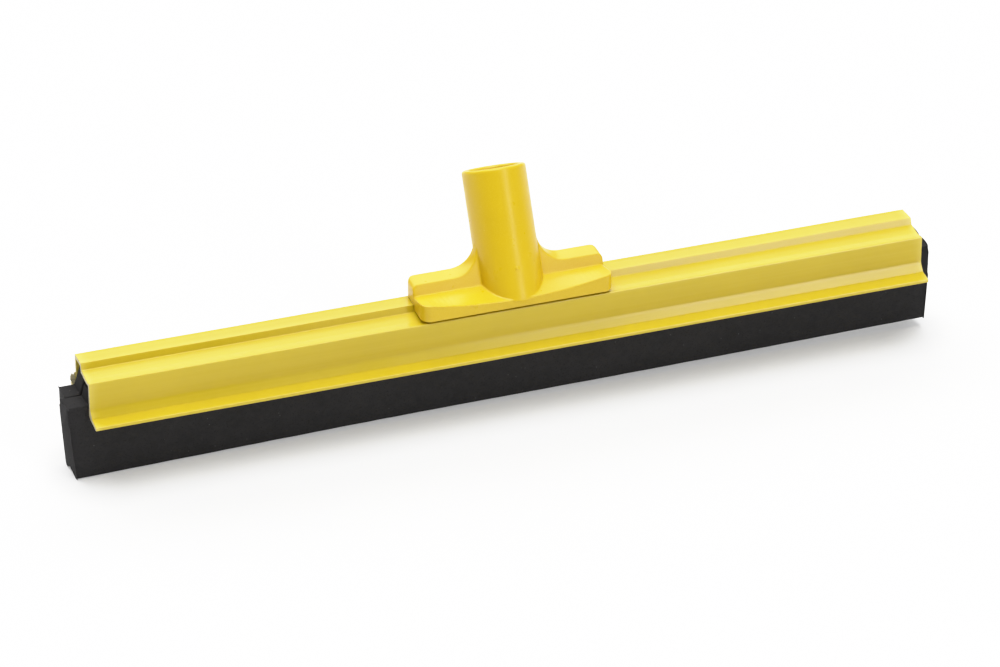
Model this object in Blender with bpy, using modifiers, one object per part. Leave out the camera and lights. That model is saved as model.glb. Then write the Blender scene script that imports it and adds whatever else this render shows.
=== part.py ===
"""Floor squeegee head with a twin foam-rubber blade.

A thin-walled channel runs along X and is open at both ends. A moulded handle holder stands on its
stepped top, held by four screws driven up from inside the channel. Two foam-rubber strips hang from the
channel mouth, gripped between barbs, and slide out lengthwise for replacement.
X runs along the head, -Y is its front, Z is up. The world's origin is the middle of the front strip's
working edge, where it meets the floor. Sizes below are measured from the middle of the channel's mouth,
which is where the empty that holds every piece stands.
"""
import math

import bmesh
import bpy
from mathutils import Vector

MM = 0.001
GAP = 0.3 * MM

# Channel: outside sizes of its section
FRAME_LENGTH = 450.0 * MM
WALL_Y = 13.5 * MM
WALL = 2.0 * MM
INNER_Y = WALL_Y - WALL
LIP_Y = 24.0 * MM
LIP_THICK = 1.3 * MM
LIP_RADIUS = 0.4 * MM
FLANGE_Z = 2.1 * MM
FLARE_Y = 3.2 * MM
FLARE_TOP_Z = 8.0 * MM
SHOULDER_Z = 21.0 * MM
SHOULDER_RADIUS = 0.6 * MM
BEAD_WIDTH = 1.6 * MM
BEAD_HEIGHT = 0.6 * MM
TROUGH_Y = -7.5 * MM
TROUGH_Z = 20.2 * MM
TROUGH_RADIUS = 9.0 * MM
RISER_Y = 0.6 * MM
RISER_FOOT_Z = 21.1 * MM
STRIP_FRONT_Y = 2.0 * MM
STRIP_FRONT_Z = 24.5 * MM
STRIP_BACK_Z = 23.7 * MM
STRIP_RADIUS = 0.5 * MM
BACK_RADIUS = 1.0 * MM
WEB_STEP_Y = 1.5 * MM
WEB_TROUGH_RADIUS = 6.0 * MM
INNER_RADIUS = 0.7 * MM
BARB_Y = 10.3 * MM
BARB_LEAD_Y = 3.2 * MM
BARB_SLANT_Y = 0.4 * MM
BARB_BACK_Z = 1.1 * MM
BARB_RADIUS = 0.2 * MM
BARB_LOW_Z = 1.2 * MM
BARB_HIGH_Z = 4.6 * MM

# Handle holder
HOLDER_X = 1.8 * MM
HOLDER_HALF = 51.5 * MM
APRON_Y = -14.0 * MM
APRON_LOW_Z = 21.9 * MM
APRON_MID_Z = 26.8 * MM
APRON_END_Z = 31.4 * MM
SHELF_BACK_Z = 29.4 * MM
RIB_FOOT_Y = 1.5 * MM
RIB_FRONT_Y = 4.1 * MM
RIB_BACK_Y = 14.2 * MM
RIB_FRONT_Z = 34.6 * MM
RIB_BACK_Z = 34.8 * MM
RIB_LOW_Z = STRIP_FRONT_Z + GAP
RIB_END_RADIUS = 3.0 * MM
PLAN_RADIUS = 5.0 * MM
BACK_PLAN_RADIUS = 4.0 * MM
GUSSET_RADIUS = 14.0 * MM
EDGE_RADIUS = 0.9 * MM
CHAMFER = 0.3
RIB_STEPS = 5
GUSSET_START = 6.0 * MM
GUSSET_STEP = 1.3 * MM
RISER_CLEARANCE = 0.5 * MM
STEP_DRAFT = 0.7 * MM
SHELF_END_DROP = 0.4

# Socket tube of the holder, leaning back about X
SOCKET_X = 3.4 * MM
SOCKET_RADIUS = 16.6 * MM
BORE_RADIUS = 12.5 * MM
BORE_DEPTH = 54.0 * MM
BORE_TAPER = 0.25 * MM
RIM_BEVEL = 0.9 * MM
SOCKET_LEAN = math.radians(26.9)
SOCKET_FOOT = Vector((SOCKET_X, 2.7 * MM, 23.75 * MM))
SOCKET_LENGTH = 63.0 * MM
SOCKET_SUNK = 25.0 * MM
SOCKET_SEGMENTS = 64
TRIM_SIZE = 80.0 * MM

# Foam strips: the strips sit a little deeper at the left end than at the right
BLADE_LEFT_X = -237.0 * MM
BLADE_RIGHT_X = 230.5 * MM
BACK_BLADE_SHIFT = 2.5 * MM
BLADE_TIP_PULL = 4.4 * MM
BLADE_TOP_Z = 7.2 * MM
BLADE_TIP_Z = -36.6 * MM
BLADE_RISE = 5.2 * MM
BLADE_HOLD_Y = 9.9 * MM
BLADE_SHOULDER_Y = 11.2 * MM
BLADE_WIDE_Y = 11.0 * MM
BLADE_TIP_Y = 8.3 * MM
BLADE_LAND = 2.0 * MM
BLADE_BEVEL = 3.2 * MM
BLADE_SLIT = 0.45 * MM
BLADE_NECK_Z = 1.8 * MM
BLADE_NECK_SLANT_Z = 1.4 * MM
BLADE_LIP_Z = -0.2 * MM
BLADE_WIDE_Z = -3.0 * MM
BLADE_INNER_Z = -4.0 * MM

# Screws that hold the holder on the channel
SCREW_X = 36.0 * MM
SCREW_BACK_Y = 7.5 * MM
SCREW_FRONT_Y = -5.5 * MM
SCREW_BACK_SEAT_Z = 21.95 * MM
SCREW_FRONT_SEAT_Z = 18.1 * MM
SCREW_RADIUS = 1.75 * MM
SCREW_REACH = 9.5 * MM
SCREW_POINT = 2.0 * MM
SCREW_POINT_RADIUS = 0.5 * MM
HEAD_RADIUS = 3.1 * MM
HEAD_HEIGHT = 2.2 * MM
HEAD_DOME = 0.6
RECESS_LENGTH = 3.6 * MM
RECESS_WIDTH = 0.8 * MM
RECESS_DEPTH = 1.2 * MM
WASHER_RADIUS = 3.6 * MM
WASHER_THICK = 0.7 * MM
HOLE_RADIUS = SCREW_RADIUS + GAP
HOLE_DEPTH = 12.0 * MM
PILOT_SPARE = 0.6 * MM
ROUND_SEGMENTS = 24

# The channel mouth's middle, from the middle of the front strip's working edge
TIP_LEFT_X = BLADE_LEFT_X + BLADE_TIP_PULL
TIP_MIDDLE_Z = BLADE_TIP_Z - BLADE_RISE * TIP_LEFT_X / (BLADE_RIGHT_X - TIP_LEFT_X)
MOUTH = Vector((0.0, BLADE_TIP_Y - BLADE_LAND / 2, -TIP_MIDDLE_Z))
MOUTH_EMPTY = "channel_mouth"

YELLOW = (0.80, 0.60, 0.045)
FOAM_BLACK = (0.022, 0.021, 0.022)
STEEL = (0.55, 0.55, 0.57)


def clear_scene():
    for obj in list(bpy.data.objects):
        bpy.data.objects.remove(obj, do_unlink=True)


def new_collection(name):
    collection = bpy.data.collections.new(name)
    bpy.context.scene.collection.children.link(collection)
    return collection


def add_mouth(collection):
    """The empty at the channel's mouth, which every piece and cutter hangs on."""
    empty = bpy.data.objects.new(MOUTH_EMPTY, None)
    empty.location = MOUTH
    collection.objects.link(empty)


def place(obj, collection):
    collection.objects.link(obj)
    obj.parent = bpy.data.objects[MOUTH_EMPTY]
    return obj


def new_material(name, colour, roughness, metallic=0.0):
    material = bpy.data.materials.new(name)
    material.use_nodes = True
    shader = material.node_tree.nodes["Principled BSDF"]
    shader.inputs["Base Color"].default_value = (*colour, 1.0)
    shader.inputs["Roughness"].default_value = roughness
    shader.inputs["Metallic"].default_value = metallic
    return material


def add_mesh(name, bm, collection, material=None):
    """A new object holding the bmesh, with its faces turned outwards."""
    bmesh.ops.recalc_face_normals(bm, faces=bm.faces)
    mesh = bpy.data.meshes.new(name)
    bm.to_mesh(mesh)
    bm.free()
    if material:
        mesh.materials.append(material)
    return place(bpy.data.objects.new(name, mesh), collection)


def add_cutter(name, bm, cutters):
    cutter = add_mesh(name, bm, cutters)
    cutter.hide_render = True
    cutter.display_type = "WIRE"
    return cutter


def add_boolean(obj, other, operation):
    modifier = obj.modifiers.new(f"{operation.lower()} {other.name}", "BOOLEAN")
    modifier.operation = operation
    modifier.object = other
    modifier.solver = "EXACT"


def smooth(obj, degrees=35.0):
    obj.data.shade_smooth()
    obj.data.set_sharp_from_angle(angle=math.radians(degrees))


def fillet(before, corner, after, radius, steps):
    """Points of an arc of this radius that rounds a corner of an outline."""
    corner = Vector(corner)
    back = (Vector(before) - corner).normalized()
    onward = (Vector(after) - corner).normalized()
    half = math.acos(max(-1.0, min(1.0, back.dot(onward)))) / 2
    if radius <= 0 or half > math.radians(89.5):
        return [corner]
    reach = radius / math.tan(half)
    centre = corner + (back + onward).normalized() * radius / math.sin(half)
    first = corner + back * reach - centre
    last = corner + onward * reach - centre
    sweep = first.angle_signed(last)
    return [
        centre + Vector((first.x * math.cos(a) + first.y * math.sin(a),
                         -first.x * math.sin(a) + first.y * math.cos(a)))
        for a in (sweep * step / steps for step in range(steps + 1))
    ]


def rounded(corners, steps=4):
    """The outline with each (y, z, radius) corner replaced by its arc."""
    count = len(corners)
    points = []
    for index, (y, z, radius) in enumerate(corners):
        before = corners[index - 1][:2]
        after = corners[(index + 1) % count][:2]
        points += fillet(before, (y, z), after, radius, steps)
    return points


def flare(side, steps=5):
    """Outside of a wall's concave foot: it leaves the wall smoothly and meets the flange at a crease."""
    drop = FLARE_TOP_Z - FLANGE_Z
    shares = (step / steps for step in range(steps + 1))
    return [(side * (WALL_Y + FLARE_Y * (1 - share) ** 2), FLANGE_Z + drop * share, 0.0)
            for share in shares]


def channel_corners():
    """The channel's section as (y, z, radius) corners: outside from front to back, then inside."""
    outside = [(-LIP_Y, 0.0, LIP_RADIUS), (-LIP_Y, LIP_THICK, LIP_RADIUS)]
    outside += flare(-1)
    outside += [
        (-WALL_Y, SHOULDER_Z, SHOULDER_RADIUS),
        (-WALL_Y + BEAD_WIDTH / 2, SHOULDER_Z, SHOULDER_RADIUS / 2),
        (-WALL_Y + BEAD_WIDTH, SHOULDER_Z - BEAD_HEIGHT, STRIP_RADIUS),
        (TROUGH_Y, TROUGH_Z, TROUGH_RADIUS),
        (RISER_Y, RISER_FOOT_Z, STRIP_RADIUS),
        (STRIP_FRONT_Y, STRIP_FRONT_Z, STRIP_RADIUS),
        (WALL_Y, STRIP_BACK_Z, BACK_RADIUS),
    ]
    outside += list(reversed(flare(1)))
    outside += [(LIP_Y, LIP_THICK, LIP_RADIUS), (LIP_Y, 0.0, LIP_RADIUS)]
    barb = [(BARB_Y + BARB_LEAD_Y, 0.0), (BARB_Y + BARB_SLANT_Y, BARB_LOW_Z), (BARB_Y, BARB_HIGH_Z),
            (INNER_Y, BARB_HIGH_Z + BARB_BACK_Z)]
    inside = [(y, z, BARB_RADIUS) for y, z in barb]
    inside += [
        (INNER_Y, STRIP_BACK_Z - WALL, INNER_RADIUS),
        (STRIP_FRONT_Y + WEB_STEP_Y, STRIP_FRONT_Z - WALL, INNER_RADIUS),
        (RISER_Y + WEB_STEP_Y, RISER_FOOT_Z - WALL, INNER_RADIUS),
        (TROUGH_Y, TROUGH_Z - WALL, WEB_TROUGH_RADIUS),
        (-INNER_Y, SHOULDER_Z - WALL, INNER_RADIUS),
    ]
    inside += [(-y, z, BARB_RADIUS) for y, z in reversed(barb)]
    return outside + inside


def extrude_along_x(name, outline, length, collection, material):
    """A closed (y, z) outline as a filled 2D curve, extruded along X and made a mesh."""
    curve = bpy.data.curves.new(name, "CURVE")
    curve.dimensions = "2D"
    curve.fill_mode = "BOTH"
    curve.extrude = length / 2
    spline = curve.splines.new("POLY")
    spline.points.add(len(outline) - 1)
    for point, (y, z) in zip(spline.points, outline):
        point.co = (y, z, 0.0, 1.0)
    spline.use_cyclic_u = True
    guide = bpy.data.objects.new(name + "_guide", curve)
    collection.objects.link(guide)
    bpy.context.view_layer.update()
    graph = bpy.context.evaluated_depsgraph_get()
    bm = bmesh.new()
    bm.from_mesh(bpy.data.meshes.new_from_object(guide.evaluated_get(graph)))
    bmesh.ops.remove_doubles(bm, verts=bm.verts, dist=0.001 * MM)
    bpy.data.objects.remove(guide, do_unlink=True)
    obj = add_mesh(name, bm, collection, material)
    obj.rotation_euler = (math.pi / 2, 0.0, math.pi / 2)
    return obj


def round_cutter(name, centre, radius, depth, cutters):
    """A vertical drill whose middle is at the centre."""
    bm = bmesh.new()
    bmesh.ops.create_cone(bm, cap_ends=True, segments=ROUND_SEGMENTS, radius1=radius,
                          radius2=radius, depth=depth)
    cutter = add_cutter(name, bm, cutters)
    cutter.location = centre
    return cutter


def screw_places():
    """Name, x, y and the z of the web's underside at each screw."""
    for side, sign in (("left", -1), ("right", 1)):
        x = HOLDER_X + sign * SCREW_X
        yield f"{side}_back", x, SCREW_BACK_Y, SCREW_BACK_SEAT_Z
        yield f"{side}_front", x, SCREW_FRONT_Y, SCREW_FRONT_SEAT_Z


def make_frame(parts, cutters, material):
    frame = extrude_along_x("frame_channel", rounded(channel_corners()), FRAME_LENGTH, parts, material)
    for name, x, y, low in screw_places():
        drill = round_cutter("web_drill_" + name, (x, y, low), HOLE_RADIUS, HOLE_DEPTH, cutters)
        add_boolean(frame, drill, "DIFFERENCE")
    smooth(frame)


def quarter(distance, radius):
    """How far a rounded end falls back, this distance from where its quarter circle starts."""
    distance = max(0.0, min(distance, radius))
    return radius - math.sqrt(radius * radius - distance * distance)


def gusset_height(x, y, top, steps=28):
    """How far the fillet between rib and leaning socket stands above the rib's top, at this place."""
    along = abs(x + HOLDER_X - SOCKET_X)
    height, reach_below = 0.0, None
    for step in range(steps + 1):
        rise = GUSSET_RADIUS * step / steps
        from_axis = y - SOCKET_FOOT.y - (top + rise - SOCKET_FOOT.z) * math.tan(SOCKET_LEAN)
        inside = max(0.0, 1 - (from_axis * math.cos(SOCKET_LEAN) / SOCKET_RADIUS) ** 2)
        reach = SOCKET_RADIUS * math.sqrt(inside) + quarter(GUSSET_RADIUS - rise, GUSSET_RADIUS)
        if along > reach:
            if reach_below is None or reach_below <= reach:
                return height
            return height + (rise - height) * (reach_below - along) / (reach_below - reach)
        height, reach_below = rise, reach
    return height


def holder_section(x):
    """The holder's (y, z) section at x, measured from its middle."""
    along = abs(x)
    end_drop = quarter(along - (HOLDER_HALF - RIB_END_RADIUS), RIB_END_RADIUS)
    front = APRON_Y + quarter(along - (HOLDER_HALF - PLAN_RADIUS), PLAN_RADIUS)
    back = RIB_BACK_Y - quarter(along - (HOLDER_HALF - BACK_PLAN_RADIUS), BACK_PLAN_RADIUS)
    bow = (along / (HOLDER_HALF - PLAN_RADIUS)) ** 2
    apron = APRON_MID_Z + (APRON_END_Z - APRON_MID_Z) * min(1.0, bow)
    edge = EDGE_RADIUS
    lean = math.tan(SOCKET_LEAN)
    rib_front = RIB_FRONT_Y
    for _ in range(4):
        rib_front = RIB_FRONT_Y + (gusset_height(x, rib_front, RIB_FRONT_Z) - end_drop) * lean
    tops = []
    for step in range(RIB_STEPS + 1):
        share = step / RIB_STEPS
        y = back - edge + (rib_front - back + 2 * edge) * share
        top = RIB_BACK_Z + (RIB_FRONT_Z - RIB_BACK_Z) * share
        tops.append((y, top + gusset_height(x, y, top) - end_drop))
    back_top, front_top = tops[0][1], tops[-1][1]
    points = [
        (front, APRON_LOW_Z),
        (RISER_Y - RISER_CLEARANCE, APRON_LOW_Z),
        (RISER_Y - RISER_CLEARANCE + STEP_DRAFT, RIB_LOW_Z),
        (back, RIB_LOW_Z),
        (back, back_top - edge),
        (back - CHAMFER * edge, back_top - CHAMFER * edge),
    ]
    points += tops
    points += [
        (rib_front, front_top - CHAMFER * edge),
        (rib_front - lean * edge, front_top - edge),
        (RIB_FOOT_Y, max(SHELF_BACK_Z - SHELF_END_DROP * end_drop, APRON_LOW_Z + edge)),
        (front + edge, apron),
        (front + CHAMFER * edge, apron - CHAMFER * edge),
        (front, apron - edge),
    ]
    return points


def holder_stations():
    """The x places of the holder's sections: close together on its gussets and round ends."""
    gusset_end = SOCKET_RADIUS + GUSSET_RADIUS + SOCKET_X - HOLDER_X
    count = math.ceil((gusset_end - GUSSET_START) / GUSSET_STEP)
    half = [0.0, GUSSET_START / 2]
    half += [GUSSET_START + (gusset_end - GUSSET_START) * n / count for n in range(count + 1)]
    half += [(gusset_end + HOLDER_HALF - RIB_END_RADIUS) / 2]
    half += [HOLDER_HALF - RIB_END_RADIUS * (1 - math.sin(math.pi / 2 * n / 7)) for n in range(8)]
    return [-x for x in reversed(half[1:])] + half


def loft(sections):
    """A solid through rings of points: quads between neighbouring rings and a face on each end."""
    bm = bmesh.new()
    rings = [[bm.verts.new(point) for point in ring] for ring in sections]
    for first, second in zip(rings, rings[1:]):
        for index in range(len(first)):
            following = (index + 1) % len(first)
            bm.faces.new((first[index], first[following], second[following], second[index]))
    bm.faces.new(rings[0])
    bm.faces.new(reversed(rings[-1]))
    return bm


def tilt_with_socket(obj, along):
    """Places an upright turned piece on the socket's axis, this far up from its foot."""
    obj.rotation_euler = (-SOCKET_LEAN, 0.0, 0.0)
    axis = Vector((0.0, math.sin(SOCKET_LEAN), math.cos(SOCKET_LEAN)))
    obj.location = SOCKET_FOOT + axis * along


def make_holder(parts, cutters, material):
    rings = [[(HOLDER_X + x, y, z) for y, z in holder_section(x)] for x in holder_stations()]
    holder = add_mesh("handle_holder", loft(rings), parts, material)

    bm = bmesh.new()
    length = SOCKET_LENGTH + SOCKET_SUNK
    bmesh.ops.create_cone(bm, cap_ends=True, segments=SOCKET_SEGMENTS, radius1=SOCKET_RADIUS,
                          radius2=SOCKET_RADIUS, depth=length)
    rim = [edge for edge in bm.edges if all(vert.co.z > 0 for vert in edge.verts)]
    bmesh.ops.bevel(bm, geom=rim, offset=RIM_BEVEL, segments=3, affect="EDGES")
    tube = add_cutter("socket_tube", bm, cutters)
    tilt_with_socket(tube, SOCKET_LENGTH - length / 2)

    bm = bmesh.new()
    bmesh.ops.create_cube(bm, size=TRIM_SIZE)
    below = add_cutter("below_the_holder", bm, cutters)
    below.location = (HOLDER_X, 0.0, RIB_LOW_Z - TRIM_SIZE / 2)
    add_boolean(tube, below, "DIFFERENCE")
    add_boolean(holder, tube, "UNION")

    bm = bmesh.new()
    bmesh.ops.create_cone(bm, cap_ends=True, segments=SOCKET_SEGMENTS, radius1=BORE_RADIUS,
                          radius2=BORE_RADIUS + BORE_TAPER, depth=BORE_DEPTH * 2)
    bore = add_cutter("socket_bore", bm, cutters)
    tilt_with_socket(bore, SOCKET_LENGTH)
    add_boolean(holder, bore, "DIFFERENCE")

    for name, x, y, low in screw_places():
        depth = 2 * (SCREW_REACH + PILOT_SPARE)
        drill = round_cutter("pilot_" + name, (x, y, low), HOLE_RADIUS, depth, cutters)
        add_boolean(holder, drill, "DIFFERENCE")
    smooth(holder)


def blade_rise(x):
    """How much higher the strips sit at x than at their left end."""
    return BLADE_RISE * (x - BLADE_LEFT_X) / (BLADE_RIGHT_X - BLADE_LEFT_X)


def blade_outline(x):
    """A front strip's (y, z) section at x: held between the barbs, wider below, bevelled at its tip."""
    top = BLADE_TOP_Z + blade_rise(x)
    tip = BLADE_TIP_Z + blade_rise(x)
    return [
        (-BLADE_SLIT, top),
        (-BLADE_SHOULDER_Y, top),
        (-BLADE_SHOULDER_Y, BARB_HIGH_Z + BLADE_NECK_Z),
        (-BLADE_HOLD_Y, BARB_HIGH_Z + BLADE_NECK_Z - BLADE_NECK_SLANT_Z),
        (-BLADE_HOLD_Y, BLADE_LIP_Z),
        (-BLADE_WIDE_Y, BLADE_WIDE_Z),
        (-BLADE_TIP_Y, tip),
        (-BLADE_TIP_Y + BLADE_LAND, tip),
        (-2 * BLADE_SLIT, tip + BLADE_BEVEL),
        (-BLADE_SLIT, BLADE_INNER_Z),
    ]


def make_blade(name, side, shift, parts, material):
    """One foam strip. side is -1 for the front one and 1 for the back one."""
    left = BLADE_LEFT_X + shift
    ring_left = [
        (left + BLADE_TIP_PULL * max(0.0, z / BLADE_TIP_Z), -side * y, z)
        for y, z in blade_outline(BLADE_LEFT_X)
    ]
    ring_right = [(BLADE_RIGHT_X, -side * y, z) for y, z in blade_outline(BLADE_RIGHT_X)]
    add_mesh(name, loft([ring_left, ring_right]), parts, material)


def turned(name, profile, location, parts, material):
    """A piece turned about Z from a (radius, z) profile that starts at its top."""
    bm = bmesh.new()
    verts = [bm.verts.new((radius, 0.0, z)) for radius, z in profile]
    for first, second in zip(verts, verts[1:]):
        bm.edges.new((first, second))
    mesh = bpy.data.meshes.new(name)
    bm.to_mesh(mesh)
    bm.free()
    mesh.materials.append(material)
    obj = place(bpy.data.objects.new(name, mesh), parts)
    obj.location = location
    turn = obj.modifiers.new("turn", "SCREW")
    turn.steps = turn.render_steps = ROUND_SEGMENTS
    turn.use_merge_vertices = True
    turn.merge_threshold = 0.01 * MM
    turn.use_smooth_shade = True
    return obj


def make_screw(spot, x, y, low, parts, cutters, material):
    """A pan-head screw, head down, with a cross recess in the head's underside."""
    seat = -WASHER_THICK - 2 * GAP
    bottom = seat - HEAD_HEIGHT
    dome = [
        (HEAD_RADIUS * math.cos(angle), bottom + HEAD_HEIGHT * HEAD_DOME * (1 - math.sin(angle)))
        for angle in (math.pi / 2 * step / 5 for step in range(5))
    ]
    profile = [(0.0, SCREW_REACH), (SCREW_POINT_RADIUS, SCREW_REACH),
               (SCREW_RADIUS, SCREW_REACH - SCREW_POINT), (SCREW_RADIUS, seat), (HEAD_RADIUS, seat)]
    profile += dome + [(0.0, bottom)]
    screw = turned("holder_screw_" + spot, profile, (x, y, low), parts, material)
    for turn in range(2):
        bm = bmesh.new()
        bmesh.ops.create_cube(bm, size=1.0)
        slot = (RECESS_LENGTH, RECESS_WIDTH) if turn else (RECESS_WIDTH, RECESS_LENGTH)
        bmesh.ops.scale(bm, vec=(*slot, 2 * RECESS_DEPTH), verts=bm.verts)
        cutter = add_cutter(f"recess_{spot}_{turn}", bm, cutters)
        cutter.location = (x, y, low + bottom)
        add_boolean(screw, cutter, "DIFFERENCE")


def make_washer(spot, x, y, low, parts, material):
    top = -GAP
    profile = [(HOLE_RADIUS, top), (WASHER_RADIUS, top), (WASHER_RADIUS, top - WASHER_THICK),
               (HOLE_RADIUS, top - WASHER_THICK), (HOLE_RADIUS, top)]
    turned("washer_" + spot, profile, (x, y, low), parts, material)


def main():
    clear_scene()
    parts = new_collection("floor_squeegee_head")
    cutters = new_collection("cutters")
    add_mouth(parts)
    frame_plastic = new_material("extruded_yellow", YELLOW, 0.42)
    holder_plastic = new_material("moulded_yellow", YELLOW, 0.36)
    foam = new_material("black_foam_rubber", FOAM_BLACK, 0.92)
    steel = new_material("zinc_plated_steel", STEEL, 0.35, 1.0)
    make_frame(parts, cutters, frame_plastic)
    make_holder(parts, cutters, holder_plastic)
    make_blade("front_blade", -1, 0.0, parts, foam)
    make_blade("back_blade", 1, BACK_BLADE_SHIFT, parts, foam)
    for spot, x, y, low in screw_places():
        make_screw(spot, x, y, low, parts, cutters, steel)
        make_washer(spot, x, y, low, parts, steel)


main()
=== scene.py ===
"""Looks of the floor squeegee head: channel, moulded holder, foam strips, light and camera."""
import math

import bmesh
import bpy
from mathutils import Matrix, Vector, noise


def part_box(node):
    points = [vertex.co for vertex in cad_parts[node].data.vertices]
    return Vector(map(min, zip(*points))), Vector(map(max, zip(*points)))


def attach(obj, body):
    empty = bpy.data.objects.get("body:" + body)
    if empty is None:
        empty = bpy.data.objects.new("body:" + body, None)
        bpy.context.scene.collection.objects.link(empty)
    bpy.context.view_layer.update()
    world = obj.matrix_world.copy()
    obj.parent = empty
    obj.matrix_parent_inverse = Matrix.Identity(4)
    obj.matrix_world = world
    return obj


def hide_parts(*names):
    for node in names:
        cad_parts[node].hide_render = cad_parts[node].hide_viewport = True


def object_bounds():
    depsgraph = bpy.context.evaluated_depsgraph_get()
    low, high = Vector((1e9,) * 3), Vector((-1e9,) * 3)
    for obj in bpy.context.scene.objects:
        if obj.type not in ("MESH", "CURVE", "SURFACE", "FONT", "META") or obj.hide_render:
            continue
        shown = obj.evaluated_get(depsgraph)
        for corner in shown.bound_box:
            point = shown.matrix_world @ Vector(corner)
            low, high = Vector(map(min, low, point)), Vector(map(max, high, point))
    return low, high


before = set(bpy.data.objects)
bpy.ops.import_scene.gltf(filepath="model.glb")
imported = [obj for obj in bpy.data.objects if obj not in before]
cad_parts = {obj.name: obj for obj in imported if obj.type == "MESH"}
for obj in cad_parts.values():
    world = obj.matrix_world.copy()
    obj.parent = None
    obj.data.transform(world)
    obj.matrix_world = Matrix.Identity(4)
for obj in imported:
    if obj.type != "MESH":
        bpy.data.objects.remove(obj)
CAD_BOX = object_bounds()
SCENE = bpy.context.scene
MM = 0.001

# The channel's mouth, between its lips at mid length: sections below are in millimetres from it
CHANNEL_LOW, CHANNEL_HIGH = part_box("frame_channel")
MOUTH = Vector(((CHANNEL_LOW.x + CHANNEL_HIGH.x) / 2, (CHANNEL_LOW.y + CHANNEL_HIGH.y) / 2, CHANNEL_LOW.z))
HALF_LENGTH = (CHANNEL_HIGH.x - CHANNEL_LOW.x) / 2 / MM
LIP_Y = (CHANNEL_HIGH.y - CHANNEL_LOW.y) / 2 / MM
CREST_Z = (CHANNEL_HIGH.z - CHANNEL_LOW.z) / MM

# Channel section
WALL_Y, WALL = 13.5, 2.0
INNER_Y = WALL_Y - WALL
LIP_THICK, LIP_DROP, FLANGE_Z = 1.3, 0.5, 2.1
FLARE_Y, FLARE_TOP_Z, FLARE_BEND = 3.2, 7.0, 0.45
SHOULDER_Z, TROUGH_Y, TROUGH_Z = 21.0, -7.5, 20.2
BEAD_Y, BEAD_DROP = 1.6, 0.6
FLARE_STEPS = 12
RISER_Y, RISER_FOOT_Z = 0.6, 21.1
STRIP_FRONT_Y, STRIP_FRONT_Z, STRIP_BACK_Z = 2.0, CREST_Z + 0.05, 23.7
BARB_Y, BARB_LOW_Z, BARB_HIGH_Z = 10.3, 1.2, 4.6
CHANNEL_STEP, OUTLINE_STEP = 3.0, 4.0
SAW_EDGE = 0.12

# Holder
HOLDER_LOW, HOLDER_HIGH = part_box("handle_holder")
HOLDER_X = (HOLDER_LOW.x + HOLDER_HIGH.x) / 2 / MM
HOLDER_HALF = (HOLDER_HIGH.x - HOLDER_LOW.x) / 2 / MM
APRON_Y, APRON_LOW_Z, APRON_MID_Z, APRON_END_Z = -14.0, 22.3, 26.8, 31.4
SHELF_BACK_Z = 29.4
RIB_FOOT_Y, RIB_FRONT_Y, RIB_BACK_Y, RIB_FRONT_Z, RIB_BACK_Z = 1.5, 4.1, 14.2, 34.6, 34.8
RIB_LOW_Z = 24.8
RIB_END_RADIUS, PLAN_RADIUS, BACK_PLAN_RADIUS, GUSSET_RADIUS = 3.0, 5.0, 4.0, 14.0
SOCKET_RADIUS, BORE_RADIUS, BORE_DEPTH, RIM_RADIUS = 16.6, 12.5, 54.0, 1.5
SOCKET_LEAN = math.radians(26.9)
SOCKET_X = HOLDER_X + 1.6
SOCKET_FOOT = Vector((SOCKET_X, 2.7, 23.75))
SOCKET_AXIS = Vector((0.0, math.sin(SOCKET_LEAN), math.cos(SOCKET_LEAN)))
SOCKET_LENGTH = 63.0
TUBE_SIDES = 288
NUB_ALONG, NUB_ACROSS, NUB_RADIUS, NUB_SUNK = 10.9, -0.4, 1.0, 0.3
HOLDER_VOXEL = 0.5
UNDERCUT = 1.5

# Foam strips
FOAM_Y, RELAXED_Y = 11.3, 11.35
END_RADIUS = 0.7
SECTION_STEP, LENGTH_STEP = 1.3, 1.6
TIP_PULL = 4.0
BLADE_RISE = 5.2
TOP_LIFT = 1.3
# Foam top raised just inside the channel's left end: black filling the opening as painted shade.
BULGE_FRONT, BULGE_BACK = 6.2, 10.4
BULGE_OUT, BULGE_STEP, BULGE_LENGTH, BULGE_FADE = 0.5, 1.2, 12.0, 60.0

# Screws
SCREW_HOLE, SCREW_HOLE_SIDES = 2.05, 24
PILOT_EXTRA = 0.4
SCREW_NODES = [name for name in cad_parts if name.startswith("holder_screw")]
WASHER_NODES = [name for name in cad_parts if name.startswith("washer")]


def to_world(x, y, z):
    return Vector((MOUTH.x + x * MM, MOUTH.y + y * MM, MOUTH.z + z * MM))


# ---------------------------------------------------------------- mesh helpers

def fillet(before, corner, after, radius, steps):
    """Points of the arc that rounds one corner of an outline."""
    corner = Vector(corner)
    back = (Vector(before) - corner).normalized()
    onward = (Vector(after) - corner).normalized()
    half = math.acos(max(-1.0, min(1.0, back.dot(onward)))) / 2
    if radius <= 0 or half > math.radians(89.5):
        return [corner]
    reach = radius / math.tan(half)
    centre = corner + (back + onward).normalized() * radius / math.sin(half)
    first = corner + back * reach - centre
    sweep = first.angle_signed(corner + onward * reach - centre)
    turns = (sweep * step / steps for step in range(steps + 1))
    return [centre + Vector((first.x * math.cos(a) + first.y * math.sin(a),
                             first.y * math.cos(a) - first.x * math.sin(a))) for a in turns]


def rounded(corners, steps):
    points = []
    for index, (y, z, radius) in enumerate(corners):
        after = corners[(index + 1) % len(corners)]
        points += fillet(corners[index - 1][:2], (y, z), after[:2], radius, steps)
    return points


def split_counts(points, longest):
    """How many pieces each side of an outline is cut into, so that none is longer than this."""
    sides = zip(points, points[1:] + points[:1])
    return [max(1, math.ceil((b - a).length / longest)) for a, b in sides]


def split(points, counts):
    out = []
    for a, b, count in zip(points, points[1:] + points[:1], counts):
        out += [a.lerp(b, step / count) for step in range(count)]
    return out


def new_object(name, mesh):
    obj = bpy.data.objects.new(name, mesh)
    SCENE.collection.objects.link(obj)
    return obj


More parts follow.
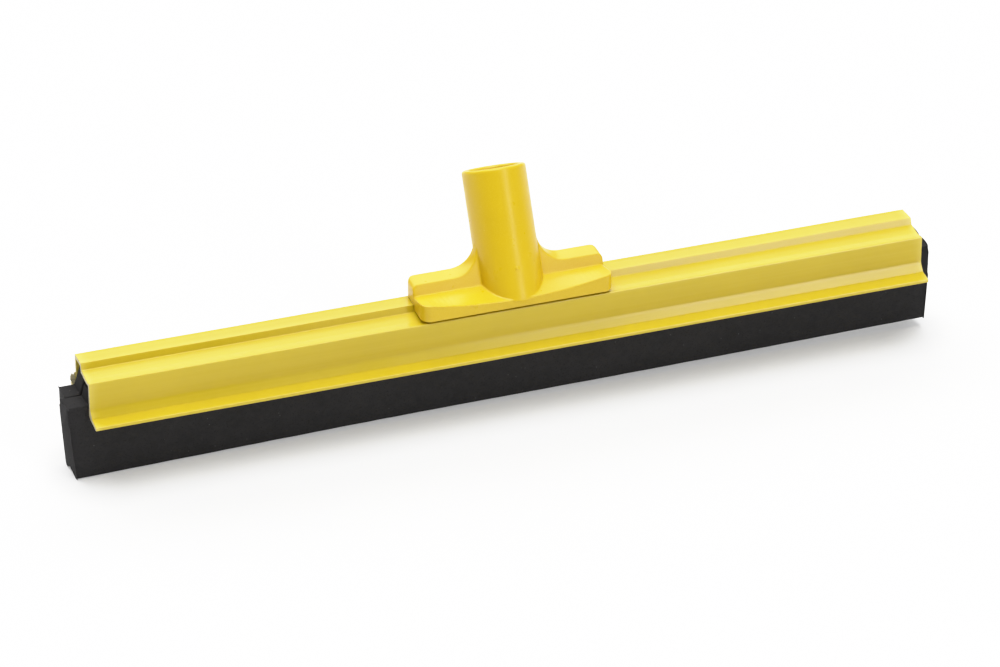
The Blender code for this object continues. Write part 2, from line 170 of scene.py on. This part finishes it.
def object_from(name, bm, smooth_angle=35.0):
    bmesh.ops.recalc_face_normals(bm, faces=bm.faces)
    mesh = bpy.data.meshes.new(name)
    bm.to_mesh(mesh)
    bm.free()
    mesh.shade_smooth()
    mesh.set_sharp_from_angle(angle=math.radians(smooth_angle))
    return new_object(name, mesh)


def loft(rings):
    """A closed solid through rings of world points."""
    bm = bmesh.new()
    rows = [[bm.verts.new(point) for point in ring] for ring in rings]
    count = len(rows[0])
    for first, second in zip(rows, rows[1:]):
        for index in range(count):
            following = (index + 1) % count
            bm.faces.new((first[index], first[following], second[following], second[index]))
    bm.faces.new(rows[0])
    bm.faces.new(reversed(rows[-1]))
    return bm


def apply_modifiers(obj):
    graph = bpy.context.evaluated_depsgraph_get()
    mesh = bpy.data.meshes.new_from_object(obj.evaluated_get(graph))
    obj.modifiers.clear()
    obj.data = mesh


def cut(obj, cutters, operation="DIFFERENCE"):
    for cutter in cutters:
        modifier = obj.modifiers.new("cut", "BOOLEAN")
        modifier.operation = operation
        modifier.object = cutter
        modifier.solver = "EXACT"
    apply_modifiers(obj)
    for cutter in cutters:
        bpy.data.objects.remove(cutter, do_unlink=True)


def screw_holes(name, extra):
    """A cutter along each holder screw, reaching this far past its tip."""
    cutters = []
    for node in SCREW_NODES:
        low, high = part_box(node)
        middle = (low + high) / 2
        top = Vector((middle.x, middle.y, high.z + extra * MM))
        bottom = Vector((middle.x, middle.y, low.z))
        turn = (top - bottom).to_track_quat("Z", "Y").to_matrix().to_4x4()
        bm = bmesh.new()
        bmesh.ops.create_cone(bm, cap_ends=True, segments=SCREW_HOLE_SIDES, radius1=SCREW_HOLE * MM,
                              radius2=SCREW_HOLE * MM, depth=(top - bottom).length,
                              matrix=Matrix.Translation((bottom + top) / 2) @ turn)
        cutters.append(object_from(name, bm))
    return cutters


def set_material(obj, material):
    obj.data.materials.clear()
    obj.data.materials.append(material)


# ---------------------------------------------------------------- materials

class Nodes:
    """Short calls for building a node material."""

    def __init__(self, name):
        self.material = bpy.data.materials.new(name)
        self.material.use_nodes = True
        self.tree = self.material.node_tree
        self.shader = self.tree.nodes["Principled BSDF"]
        self.coordinates = self.tree.nodes.new("ShaderNodeTexCoord").outputs["Object"]

    def link(self, value, socket):
        if isinstance(value, bpy.types.NodeSocket):
            self.tree.links.new(value, socket)
        else:
            socket.default_value = value

    def scaled(self, scale):
        mapping = self.tree.nodes.new("ShaderNodeMapping")
        mapping.inputs["Scale"].default_value = scale
        self.tree.links.new(self.coordinates, mapping.inputs["Vector"])
        return mapping.outputs["Vector"]

    def noise(self, scale, detail=3.0, roughness=0.5, stretch=(1, 1, 1), distortion=0.0):
        node = self.tree.nodes.new("ShaderNodeTexNoise")
        self.tree.links.new(self.scaled(stretch), node.inputs["Vector"])
        node.inputs["Scale"].default_value = scale
        node.inputs["Detail"].default_value = detail
        node.inputs["Roughness"].default_value = roughness
        node.inputs["Distortion"].default_value = distortion
        return node.outputs["Fac"]

    def cells(self, scale):
        node = self.tree.nodes.new("ShaderNodeTexVoronoi")
        self.tree.links.new(self.coordinates, node.inputs["Vector"])
        node.inputs["Scale"].default_value = scale
        return node.outputs["Distance"]

    def remap(self, value, low, high, to_low=0.0, to_high=1.0):
        node = self.tree.nodes.new("ShaderNodeMapRange")
        node.clamp = True
        for key, number in (("From Min", low), ("From Max", high), ("To Min", to_low), ("To Max", to_high)):
            node.inputs[key].default_value = number
        self.tree.links.new(value, node.inputs["Value"])
        return node.outputs["Result"]

    def math(self, operation, first, second=0.0):
        node = self.tree.nodes.new("ShaderNodeMath")
        node.operation = operation
        self.link(first, node.inputs[0])
        self.link(second, node.inputs[1])
        return node.outputs[0]

    def mix(self, factor, first, second):
        node = self.tree.nodes.new("ShaderNodeMix")
        node.data_type = "RGBA"
        self.link(factor, node.inputs["Factor"])
        for value, socket in ((first, node.inputs[6]), (second, node.inputs[7])):
            self.link((*value, 1.0) if isinstance(value, tuple) else value, socket)
        return node.outputs[2]

    def along_x(self, vector):
        """The X component of a vector socket."""
        node = self.tree.nodes.new("ShaderNodeSeparateXYZ")
        self.tree.links.new(vector, node.inputs[0])
        return node.outputs["X"]

    def end_faces(self):
        """1 on faces that look along the head's length, 0 elsewhere."""
        normal = self.tree.nodes.new("ShaderNodeTexCoord").outputs["Normal"]
        return self.remap(self.math("ABSOLUTE", self.along_x(normal)), 0.8, 0.95)

    def pointiness(self):
        return self.tree.nodes.new("ShaderNodeNewGeometry").outputs["Pointiness"]

    def bump(self, height, strength, distance, normal=None):
        node = self.tree.nodes.new("ShaderNodeBump")
        node.inputs["Strength"].default_value = strength
        node.inputs["Distance"].default_value = distance
        self.tree.links.new(height, node.inputs["Height"])
        if normal:
            self.tree.links.new(normal, node.inputs["Normal"])
        return node.outputs["Normal"]

    def finish(self, colour, roughness, normal, **values):
        self.link(colour, self.shader.inputs["Base Color"])
        self.link(roughness, self.shader.inputs["Roughness"])
        self.link(normal, self.shader.inputs["Normal"])
        for key, value in values.items():
            self.shader.inputs[key.replace("_", " ")].default_value = value
        return self.material


def extruded_plastic():
    """Satin yellow with the die's long draw lines, faint blotches and edges painted paler as a painted
    highlight.
    """
    n = Nodes("extruded_yellow")
    blotch = n.remap(n.noise(14.0, 4.0, 0.6), 0.3, 0.7)
    colour = n.mix(blotch, (0.560, 0.418, 0.009), (0.602, 0.450, 0.011))
    streak = n.remap(n.noise(1.0, 3.0, 0.6, stretch=(3.0, 420.0, 420.0)), 0.35, 0.7)
    colour = n.mix(n.math("MULTIPLY", streak, 0.35), colour, (0.64, 0.49, 0.025))
    # Rounded edges painted paler: a painted highlight standing in for the light they catch.
    edge = n.remap(n.pointiness(), 0.505, 0.56)
    colour = n.mix(n.math("MULTIPLY", edge, 0.5), colour, (0.82, 0.68, 0.16))
    sawn = n.end_faces()
    cut_marks = n.remap(n.noise(1.0, 4.0, 0.7, stretch=(1.0, 260.0, 1400.0)), 0.3, 0.7)
    burr = n.remap(n.along_x(n.coordinates), CHANNEL_LOW.x - 0.0006, CHANNEL_LOW.x - 0.0002, 1.0, 0.0)
    sawn = n.math("MAXIMUM", sawn, burr)
    colour = n.mix(sawn, colour, n.mix(cut_marks, (0.52, 0.45, 0.24), (0.78, 0.71, 0.46)))
    rough = n.remap(n.noise(60.0, 4.0, 0.6, stretch=(0.25, 1, 1)), 0.3, 0.7, 0.17, 0.23)
    rough = n.math("ADD", rough, n.math("MULTIPLY", sawn, 0.35))
    lines = n.noise(1.0, 2.0, 0.5, stretch=(4.0, 1500.0, 1500.0))
    normal = n.bump(lines, 0.25, 0.00008)
    normal = n.bump(n.noise(900.0, 3.0, 0.6), 0.12, 0.00006, normal)
    normal = n.bump(n.noise(28.0, 2.0, 0.5, stretch=(0.4, 1, 1)), 0.2, 0.0004, normal)
    tangent = n.tree.nodes.new("ShaderNodeCombineXYZ")
    tangent.inputs["X"].default_value = 1.0
    n.tree.links.new(tangent.outputs[0], n.shader.inputs["Tangent"])
    return n.finish(colour, rough, normal, Specular_IOR_Level=0.42, Anisotropic=0.9,
                    Anisotropic_Rotation=0.25)


def moulded_plastic():
    """A little deeper and glossier yellow, with a fine spark-eroded mould grain and flow marks."""
    n = Nodes("moulded_yellow")
    flow = n.remap(n.noise(26.0, 4.0, 0.55, distortion=0.6), 0.3, 0.72)
    colour = n.mix(flow, (0.666, 0.452, 0.007), (0.712, 0.489, 0.009))
    speckle = n.remap(n.noise(1600.0, 2.0, 0.7), 0.45, 0.75)
    colour = n.mix(n.math("MULTIPLY", speckle, 0.22), colour, (0.78, 0.60, 0.06))
    # Edges painted a little paler: a painted highlight.
    edge = n.remap(n.pointiness(), 0.55, 0.64)
    colour = n.mix(n.math("MULTIPLY", edge, 0.12), colour, (0.84, 0.69, 0.12))
    rough = n.remap(n.noise(120.0, 3.0, 0.6), 0.3, 0.7, 0.27, 0.35)
    normal = n.bump(n.noise(1900.0, 2.0, 0.6), 0.16, 0.00005)
    normal = n.bump(n.noise(70.0, 2.0, 0.5), 0.15, 0.0003, normal)
    return n.finish(colour, rough, normal, Specular_IOR_Level=0.36)


def foam_rubber():
    """Matt black cellular rubber: mottled skin, small open pores with painted shade in them, and a few pale
    specks.
    """
    n = Nodes("black_foam_rubber")
    mottle = n.remap(n.noise(260.0, 5.0, 0.65), 0.3, 0.72)
    colour = n.mix(mottle, (0.0120, 0.0115, 0.0120), (0.0225, 0.0215, 0.0220))
    cloud = n.remap(n.noise(32.0, 3.0, 0.5), 0.35, 0.7)
    colour = n.mix(n.math("MULTIPLY", cloud, 0.4), colour, (0.026, 0.0245, 0.025))
    pores = n.remap(n.cells(1100.0), 0.12, 0.34)
    holes = n.remap(n.cells(330.0), 0.05, 0.16)
    # Pores painted darker: painted shade inside the pits.
    depth = n.math("MULTIPLY", pores, holes)
    colour = n.mix(depth, (0.008, 0.008, 0.008), colour)
    specks = n.remap(n.cells(190.0), 0.035, 0.06, 1.0, 0.0)
    colour = n.mix(n.math("MULTIPLY", specks, 0.5), colour, (0.12, 0.115, 0.115))
    normal = n.bump(depth, 0.5, 0.00012)
    normal = n.bump(n.noise(150.0, 4.0, 0.6), 0.5, 0.0003, normal)
    rough = n.remap(mottle, 0.0, 1.0, 0.86, 0.97)
    return n.finish(colour, rough, normal, Specular_IOR_Level=0.28)


def zinc_steel():
    """Bright zinc plating with a faint mottled bloom."""
    n = Nodes("zinc_plated_steel")
    bloom = n.remap(n.noise(500.0, 4.0, 0.6), 0.3, 0.7)
    colour = n.mix(bloom, (0.52, 0.53, 0.56), (0.66, 0.66, 0.64))
    rough = n.remap(n.noise(900.0, 3.0, 0.6), 0.3, 0.7, 0.26, 0.42)
    normal = n.bump(n.noise(2500.0, 2.0, 0.5), 0.2, 0.00003)
    return n.finish(colour, rough, normal, Metallic=1.0)


def pale_floor():
    """A white sheet that glows a little, so that shadows on it stay faint."""
    n = Nodes("pale_floor")
    grain = n.remap(n.noise(9.0, 3.0, 0.5), 0.3, 0.7)
    colour = n.mix(grain, (0.665, 0.665, 0.665), (0.675, 0.675, 0.675))
    rough = n.remap(grain, 0.0, 1.0, 0.75, 0.8)
    n.shader.inputs["Emission Color"].default_value = (1.0, 1.0, 1.0, 1.0)
    return n.finish(colour, rough, n.bump(n.noise(300.0), 0.02, 0.0001), Specular_IOR_Level=0.15,
                    Emission_Strength=0.33)


# ---------------------------------------------------------------- channel

def flare(side):
    """A wall's foot: it bends away from the wall over a short height, then runs straight to the flange."""
    points = []
    for step in range(FLARE_STEPS + 1):
        t = step / FLARE_STEPS
        run = 1 - t
        out = run * run / FLARE_BEND / 2 if run < FLARE_BEND else run - FLARE_BEND / 2
        y = WALL_Y + FLARE_Y * out / (1 - FLARE_BEND / 2)
        points.append((side * y, FLANGE_Z + (FLARE_TOP_Z - FLANGE_Z) * t, 0.0))
    return points


def channel_outline():
    """The channel's closed section: its outer side from left to right, then its inner side back."""
    corners = [(-LIP_Y, -LIP_DROP, 0.4), (-LIP_Y, LIP_THICK, 0.45)]
    corners += flare(-1)
    corners += [(-WALL_Y, SHOULDER_Z, 0.6), (-WALL_Y + BEAD_Y / 2, SHOULDER_Z + 0.05, 0.3),
                (-WALL_Y + BEAD_Y, SHOULDER_Z - BEAD_DROP, 0.5), (TROUGH_Y, TROUGH_Z, 9.0),
                (RISER_Y, RISER_FOOT_Z, 0.5), (STRIP_FRONT_Y, STRIP_FRONT_Z, 0.45),
                (WALL_Y, STRIP_BACK_Z, 1.0)]
    corners += list(reversed(flare(1)))
    corners += [(LIP_Y, LIP_THICK, 0.45), (LIP_Y, -LIP_DROP, 0.4), (LIP_Y - 1.3, -LIP_DROP, 0.3)]
    barb = [(BARB_Y + 3.2, 0.0), (BARB_Y + 0.4, BARB_LOW_Z), (BARB_Y, BARB_HIGH_Z),
            (INNER_Y, BARB_HIGH_Z + 1.1)]
    corners += [(y, z, 0.2) for y, z in barb]
    corners += [(INNER_Y, STRIP_BACK_Z - 1.9, 0.8), (STRIP_FRONT_Y + 1.5, STRIP_FRONT_Z - 2.1, 0.8),
                (RISER_Y + 1.4, RISER_FOOT_Z - 2.2, 0.6), (TROUGH_Y, TROUGH_Z - 2.0, 6.0),
                (-INNER_Y, SHOULDER_Z - 2.2, 0.8)]
    corners += [(-y, z, 0.2) for y, z in reversed(barb)] + [(-LIP_Y + 1.3, -LIP_DROP, 0.3)]
    return rounded(corners, 6)


def waviness(x, y, z):
    """How far the drawn plastic wanders from a true line: a fraction of a millimetre."""
    wander_y = noise.noise(Vector((x / 55.0, 3.1, y / 40.0)))
    wander_z = noise.noise(Vector((x / 70.0, 9.7 + y / 30.0, z / 40.0)))
    return 0.16 * wander_y, 0.14 * wander_z


def make_burr():
    """The ragged flake that the saw left on the back wall's left end."""
    rings = []
    for out, low, high, thick in ((-1.5, 6.2, 13.0, 0.9), (0.6, 5.6, 13.4, 0.9), (1.3, 5.9, 11.9, 0.7),
                                  (1.9, 6.4, 12.9, 0.5), (2.4, 7.9, 12.0, 0.4), (2.8, 8.8, 11.0, 0.25)):
        middle = WALL_Y - 0.8 + 0.25 * out
        x = -HALF_LENGTH - out
        rings.append([to_world(x, middle - thick / 2, low), to_world(x, middle + thick / 2, low + 0.2),
                      to_world(x, middle + thick / 2, high - 0.3), to_world(x, middle - thick / 2, high)])
    return object_from("burr", loft(rings))


def make_channel(material):
    """The extrusion, its sawn ends, the screw holes and the burr."""
    outline = channel_outline()
    outline = split(outline, split_counts(outline, OUTLINE_STEP))
    half = HALF_LENGTH - SAW_EDGE
    steps = round(2 * half / CHANNEL_STEP)
    inner_stations = [2 * half * n / steps - half for n in range(steps + 1)]
    rings = []
    for x in [-HALF_LENGTH] + inner_stations + [HALF_LENGTH]:
        ring = []
        inset = SAW_EDGE if abs(x) > HALF_LENGTH - SAW_EDGE / 2 else 0.0
        for index, point in enumerate(outline):
            y, z = point
            if inset:
                before, after = outline[index - 1], outline[(index + 1) % len(outline)]
                along = (after - before).normalized()
                y += along.y * inset
                z -= along.x * inset
            wander_y, wander_z = waviness(x, y, z)
            ring.append(to_world(x, y + wander_y, z + wander_z))
        rings.append(ring)
    channel = object_from("channel_shell", loft(rings), 40.0)
    cut(channel, screw_holes("drill", 0.0))
    cut(channel, [make_burr()], "UNION")
    channel.data.shade_smooth()
    channel.data.set_sharp_from_angle(angle=math.radians(40.0))
    set_material(channel, material)
    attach(channel, "frame")
    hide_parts("frame_channel")


# ---------------------------------------------------------------- holder

def quarter(distance, radius):
    """How far a quarter circle has fallen away at this distance from where it starts."""
    distance = max(0.0, min(distance, radius))
    return radius - math.sqrt(radius * radius - distance * distance)


def gusset_height(x, y, top):
    """How far the web's fillet against the leaning socket stands above the rib's top here."""
    along = abs(x + HOLDER_X - SOCKET_X)
    steps = 56
    height, reach_below = 0.0, None
    for step in range(steps + 1):
        h = GUSSET_RADIUS * step / steps
        lean_y = y - SOCKET_FOOT.y - (top + h - SOCKET_FOOT.z) * math.tan(SOCKET_LEAN)
        inside = max(0.0, 1 - (lean_y * math.cos(SOCKET_LEAN) / SOCKET_RADIUS) ** 2)
        reach = SOCKET_RADIUS * math.sqrt(inside) + quarter(GUSSET_RADIUS - h, GUSSET_RADIUS)
        if along > reach:
            if reach_below is None or reach_below <= reach:
                return height
            return height + GUSSET_RADIUS / steps * (reach_below - along) / (reach_below - reach)
        height, reach_below = h, reach
    return height


def holder_section(x):
    """The holder's section at x from its middle. Its underside is left long, to be trimmed on the channel."""
    along = abs(x)
    end_drop = quarter(along - (HOLDER_HALF - RIB_END_RADIUS), RIB_END_RADIUS)
    front = APRON_Y + quarter(along - (HOLDER_HALF - PLAN_RADIUS), PLAN_RADIUS)
    back = RIB_BACK_Y - quarter(along - (HOLDER_HALF - BACK_PLAN_RADIUS), BACK_PLAN_RADIUS)
    bow = min(1.0, (along / (HOLDER_HALF - PLAN_RADIUS)) ** 2)
    apron = APRON_MID_Z + (APRON_END_Z - APRON_MID_Z) * bow
    low = APRON_LOW_Z - UNDERCUT
    rib_front = RIB_FRONT_Y
    for _ in range(4):
        rise = gusset_height(x, rib_front, RIB_FRONT_Z) - end_drop
        rib_front = RIB_FRONT_Y + rise * math.tan(SOCKET_LEAN)
    points = [(front, low), (back, low)]
    steps = 14
    for step in range(steps + 1):
        y = back + (rib_front - back) * step / steps
        top = RIB_BACK_Z + (RIB_FRONT_Z - RIB_BACK_Z) * step / steps
        points.append((y, top + gusset_height(x, y, top) - end_drop))
    shelf = max(SHELF_BACK_Z - 0.4 * end_drop, APRON_LOW_Z + 1.0)
    return points + [(RIB_FOOT_Y, shelf), (front, apron)]


def holder_stations():
    """Places along x, close together where the gussets and the rounded ends curve."""
    inner = [0.0, 4.0] + [6.0 + 0.6 * n for n in range(47)]
    outer = [HOLDER_HALF - PLAN_RADIUS * (1 - math.sin(math.pi / 2 * n / 16)) for n in range(17)]
    half = inner + [36.0, 39.0, 42.0, 44.5] + outer
    return [-x for x in reversed(half[1:])] + half


def on_socket(along, across=0.0, forward=0.0):
    """A world point on the socket: along its axis from its foot, to the right, and out to its front."""
    face = Vector((0.0, -math.cos(SOCKET_LEAN), math.sin(SOCKET_LEAN)))
    return to_world(*(SOCKET_FOOT + SOCKET_AXIS * along + Vector((across, 0, 0)) + face * forward))


def turned(name, stations):
    """A closed solid turned on the socket's axis, from (distance along, radius) pairs."""
    turns = [math.tau * n / TUBE_SIDES for n in range(TUBE_SIDES)]
    rings = [[on_socket(along, radius * math.sin(a), radius * math.cos(a)) for a in turns]
             for along, radius in stations]
    return object_from(name, loft(rings))


def trim_block():
    """The channel's stepped top, with the clearance that the holder's underside keeps from it."""
    reach = 40.0
    outline = [(-reach, 0.0), (-reach, APRON_LOW_Z), (RISER_Y - 0.5, APRON_LOW_Z), (RISER_Y + 0.2, RIB_LOW_Z),
               (reach, RIB_LOW_Z), (reach, 0.0)]
    ends = (HOLDER_X - HOLDER_HALF - 5.0, HOLDER_X + HOLDER_HALF + 5.0)
    return object_from("trim_block", loft([[to_world(x, y, z) for y, z in outline] for x in ends]))


def make_nub():
    """The moulding gate's stub, low on the socket's front."""
    bm = bmesh.new()
    place = Matrix.Translation(on_socket(NUB_ALONG, NUB_ACROSS, SOCKET_RADIUS - NUB_SUNK))
    bmesh.ops.create_icosphere(bm, subdivisions=3, radius=NUB_RADIUS * MM, matrix=place)
    return object_from("nub", bm)


def make_holder(material):
    """Block, tube and bore, blended by a fine remesh drawn back onto the exact shape, then trimmed."""
    rings = [[to_world(HOLDER_X + x, y, z) for y, z in holder_section(x)] for x in holder_stations()]
    holder = object_from("holder_body", loft(rings))
    quarters = [math.pi / 2 * n / 8 for n in range(1, 9)]
    rim = [(SOCKET_LENGTH - RIM_RADIUS * (1 - math.sin(a)), RIM_RADIUS * (1 - math.cos(a))) for a in quarters]
    tube = [(-6.0, SOCKET_RADIUS), (SOCKET_LENGTH - RIM_RADIUS, SOCKET_RADIUS)]
    tube += [(along, SOCKET_RADIUS - inset) for along, inset in rim]
    cut(holder, [turned("tube", tube)], "UNION")
    bore = [(SOCKET_LENGTH - BORE_DEPTH, BORE_RADIUS), (SOCKET_LENGTH - RIM_RADIUS, BORE_RADIUS + 0.15)]
    bore += [(along, BORE_RADIUS + 0.15 + inset) for along, inset in rim]
    bore += [(SOCKET_LENGTH + 4.0, BORE_RADIUS + 0.2 + RIM_RADIUS)]
    cut(holder, [turned("bore", bore)])
    cut(holder, [make_nub()], "UNION")
    exact = new_object("exact_shape", holder.data.copy())
    remesh = holder.modifiers.new("remesh", "REMESH")
    remesh.mode = "VOXEL"
    remesh.voxel_size = HOLDER_VOXEL * MM
    wrap = holder.modifiers.new("wrap", "SHRINKWRAP")
    wrap.target = exact
    wrap.wrap_method = "NEAREST_SURFACEPOINT"
    soften = holder.modifiers.new("soften", "SMOOTH")
    soften.factor = 0.5
    soften.iterations = 3
    apply_modifiers(holder)
    bpy.data.objects.remove(exact, do_unlink=True)
    cut(holder, [trim_block()] + screw_holes("pilot", PILOT_EXTRA))
    holder.data.shade_smooth()
    holder.data.set_sharp_from_angle(angle=math.radians(50.0))
    set_material(holder, material)
    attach(holder, "frame")
    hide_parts("handle_holder")


# ---------------------------------------------------------------- foam strips

def blade_rise(x, left, right):
    """The strips sit deeper at the left; the edge also bows up a little left of the middle."""
    straight = BLADE_RISE * (x - left) / (right - left)
    return straight + 0.9 * math.exp(-((x + 75.0) / 110.0) ** 2)


def blade_section(top, tip):
    """A front strip's section: pinched between the barbs, swelling below the lips, bevelled at its tip."""
    return rounded([
        (-0.15, top, 0.8), (-FOAM_Y, top, 0.5), (-FOAM_Y, BARB_HIGH_Z + 1.5, 0.4),
        (-10.1, BARB_HIGH_Z - 0.4, 1.2),
        (-10.1, BARB_LOW_Z - 0.3, 1.2), (-11.5, -1.9, 1.5), (-11.0, -9.0, 20.0), (-8.4, tip, 0.7),
        (-6.3, tip, 0.8), (-0.9, tip + 3.1, 0.9), (-0.55, -14.0, 10.0), (-0.15, -3.0, 6.0),
    ], 5)


def share_of_rise(z, top):
    """How much of the strip's rise a height takes: all of it at the tip and the top, none at the barbs."""
    if z > BARB_HIGH_Z:
        return max(0.0, min(1.0, (z - BARB_HIGH_Z - 1.5) / (top - BARB_HIGH_Z - 1.5)))
    return max(0.0, min(1.0, (-3.0 - z) / 12.0))


def raised_as_end_shade(x):
    """How far the foam's top is raised into the channel, filling its open left end with black as painted
    shade: 1 just inside its left end, fading further in.
    """
    inside = x + HALF_LENGTH + BULGE_OUT
    step = max(0.0, min(1.0, inside / BULGE_STEP))
    fade = max(0.0, min(1.0, (inside - BULGE_LENGTH) / BULGE_FADE))
    return step * step * (3 - 2 * step) * (1 - fade * fade * (3 - 2 * fade))


def make_blade(name, node, side, material):
    """One foam strip. Side is -1 for the front strip and 1 for its mirror image behind it."""
    low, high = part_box(node)
    left, right = (low.x - MOUTH.x) / MM, (high.x - MOUTH.x) / MM
    tip = (low.z - MOUTH.z) / MM
    top = (high.z - MOUTH.z) / MM - BLADE_RISE
    section = blade_section(top, tip)
    section = split(section, split_counts(section, SECTION_STEP))
    normals = []
    for index, point in enumerate(section):
        along = (section[(index + 1) % len(section)] - section[index - 1]).normalized()
        normals.append(Vector((-along.y, along.x)))
    length = right - left
    angles = [math.pi / 8 * n for n in range(5)]
    ends = [(END_RADIUS * (1 - math.cos(a)), END_RADIUS * (1 - math.sin(a))) for a in angles]
    steps = round(length / LENGTH_STEP)
    stations = [(out / length, inset) for out, inset in ends]
    stations += [(n / steps, 0.0) for n in range(1, steps)]
    stations += [(1 - out / length, inset) for out, inset in reversed(ends)]
    rings = []
    for share, inset in stations:
        straight_x = left + share * length
        rise = blade_rise(straight_x, left, right)
        ring = []
        # The raised foam top fills the channel's open left end with black: painted shade.
        bulge = (BULGE_BACK if side > 0 else BULGE_FRONT) * raised_as_end_shade(straight_x)
        relaxed = max(0.0, min(1.0, (abs(straight_x) - HALF_LENGTH + 1.0) / 3.0))
        for point, normal in zip(section, normals):
            swell = 0.1 * noise.noise(Vector((straight_x / 9.0, point.x / 6.0, point.y / 6.0 + side * 7.0)))
            y, z = point + normal * (swell - inset)
            if y < -8.0 and -3.0 < z < BARB_HIGH_Z + 2.0:
                y += (inset - RELAXED_Y - y) * relaxed
            lift = TOP_LIFT * share ** 3 + bulge if z > BARB_HIGH_Z else 0.0
            z += (rise + lift) * share_of_rise(z, top)
            depth = max(0.0, min(1.0, z / tip))
            belly = 0.5 * (1 - (2 * (-y / FOAM_Y) - 1) ** 2) * (1 - depth)
            if side < 0:
                left_x = left - belly + TIP_PULL * depth ** 1.3 - 1.2 * y / FOAM_Y
            else:
                left_x = left + 1.3 * depth ** 1.3
            right_x = right - 0.3 + belly - 0.8 * max(0.0, min(1.0, (z - 8.0) / 4.0)) ** 2
            ring.append(to_world(left_x + share * (right_x - left_x), -side * y, z))
        rings.append(ring)
    blade = object_from(name, loft(rings), 50.0)
    set_material(blade, material)
    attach(blade, node)
    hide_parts(node)


# ---------------------------------------------------------------- stage

FLOOR_HALF = 6.0
FLOOR_DROP = 0.4


def make_stage():
    """A wide pale floor just below the strips' edges."""
    bm = bmesh.new()
    bmesh.ops.create_grid(bm, x_segments=1, y_segments=1, size=FLOOR_HALF)
    floor = object_from("floor", bm)
    floor.location = (0.0, 0.0, CAD_BOX[0][2] - FLOOR_DROP * MM)
    set_material(floor, pale_floor())


def smooth_fall(tree, value, middle, width):
    """1 to 0 as the value passes the middle."""
    node = tree.nodes.new("ShaderNodeMapRange")
    node.interpolation_type = "SMOOTHSTEP"
    for key, number in (("From Min", middle - width / 2), ("From Max", middle + width / 2),
                        ("To Min", 1.0), ("To Max", 0.0)):
        node.inputs[key].default_value = number
    tree.links.new(value, node.inputs["Value"])
    return node.outputs["Result"]


def make_light_tent(fill, panels):
    """A dim white tent with bright panels. Each panel is a radiance and a list of bounds: which direction
    component it bounds (X right, Y back, Z up), the lowest and highest value, and the edge's soft width."""
    world = bpy.data.worlds.new("light_tent")
    world.use_nodes = True
    tree = world.node_tree

    def calculate(operation, first, second):
        node = tree.nodes.new("ShaderNodeMath")
        node.operation = operation
        for value, socket in ((first, node.inputs[0]), (second, node.inputs[1])):
            if isinstance(value, bpy.types.NodeSocket):
                tree.links.new(value, socket)
            else:
                socket.default_value = value
        return node.outputs[0]

    direction = tree.nodes.new("ShaderNodeSeparateXYZ")
    tree.links.new(tree.nodes.new("ShaderNodeTexCoord").outputs["Generated"], direction.inputs[0])
    total = fill
    for radiance, bounds in panels:
        share = radiance
        for axis, low, high, soft in bounds:
            offset = calculate("SUBTRACT", direction.outputs[axis], (low + high) / 2)
            away = calculate("ABSOLUTE", offset, 0.0)
            share = calculate("MULTIPLY", smooth_fall(tree, away, (high - low) / 2, soft), share)
        total = calculate("ADD", share, total)
    background = tree.nodes["Background"]
    background.inputs["Color"].default_value = (1.0, 1.0, 1.0, 1.0)
    tree.links.new(total, background.inputs["Strength"])
    SCENE.world = world


def soften_highlights(points, white):
    """A tone curve that rolls off softly towards white: (scene value, shown value)."""
    view = SCENE.view_settings
    view.view_transform = "Standard"
    view.use_curve_mapping = True
    mapping = view.curve_mapping
    mapping.white_level = (white, white, white)
    curve = mapping.curves[3]
    for value, shown in points[1:-1]:
        curve.points.new(value / white, shown)
    curve.points[0].location = (points[0][0] / white, points[0][1])
    curve.points[-1].location = (points[-1][0] / white, points[-1][1])
    mapping.update()


LENS_IN_SENSOR_WIDTHS = 5.224


def make_camera():
    """A long lens from the front left, looking down on the head."""
    azimuth, elevation, roll = math.radians(19.3), math.radians(30.83), math.radians(0.09)
    distance, shift_right, shift_up, aim_height = 2673.7, 3.5, 18.1, 20.0
    forward = Vector((math.sin(azimuth) * math.cos(elevation), math.cos(azimuth) * math.cos(elevation),
                      -math.sin(elevation)))
    right = Vector((math.cos(azimuth), -math.sin(azimuth), 0.0))
    up = right.cross(forward)
    turned_right = right * math.cos(roll) + up * math.sin(roll)
    turned_up = up * math.cos(roll) - right * math.sin(roll)
    eye = Vector((0.0, 0.0, aim_height)) - forward * distance
    eye -= turned_right * shift_right + turned_up * shift_up
    data = bpy.data.cameras.new("camera")
    data.lens = LENS_IN_SENSOR_WIDTHS * data.sensor_width
    data.clip_end = 20.0
    camera = bpy.data.objects.new("camera", data)
    axes = Matrix((turned_right, turned_up, -forward)).transposed().to_4x4()
    camera.matrix_world = Matrix.Translation(to_world(*eye)) @ axes
    SCENE.collection.objects.link(camera)
    SCENE.camera = camera


make_channel(extruded_plastic())
make_holder(moulded_plastic())
foam = foam_rubber()
make_blade("foam_front", "front_blade", -1, foam)
make_blade("foam_back", "back_blade", 1, foam)
steel = zinc_steel()
for name in SCREW_NODES + WASHER_NODES:
    set_material(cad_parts[name], steel)
make_stage()
make_light_tent(0.135, [
    (6.2, [("Z", 0.914, 2.0, 0.05)]),
    (6.6, [("X", 0.290, 0.42, 0.035), ("Y", -2.0, 0.0, 0.1), ("Z", -0.07, 0.77, 0.10)]),
    (2.6, [("X", -0.75, 0.75, 0.15), ("Y", 0.0, 2.0, 0.1), ("Z", 0.37, 0.67, 0.13)]),
    (1.8, [("X", -0.60, 0.27, 0.10), ("Y", 0.0, 2.0, 0.1), ("Z", 0.62, 0.80, 0.10)]),
])
make_camera()
soften_highlights([(0.0, 0.0), (0.4, 0.4), (0.7, 0.7), (0.8, 0.79), (0.9, 0.855), (1.0, 0.895), (1.1, 0.925),
                   (1.2, 0.95), (1.35, 0.985), (1.5, 1.0), (2.0, 1.0)], 2.0)

bpy.context.view_layer.update()
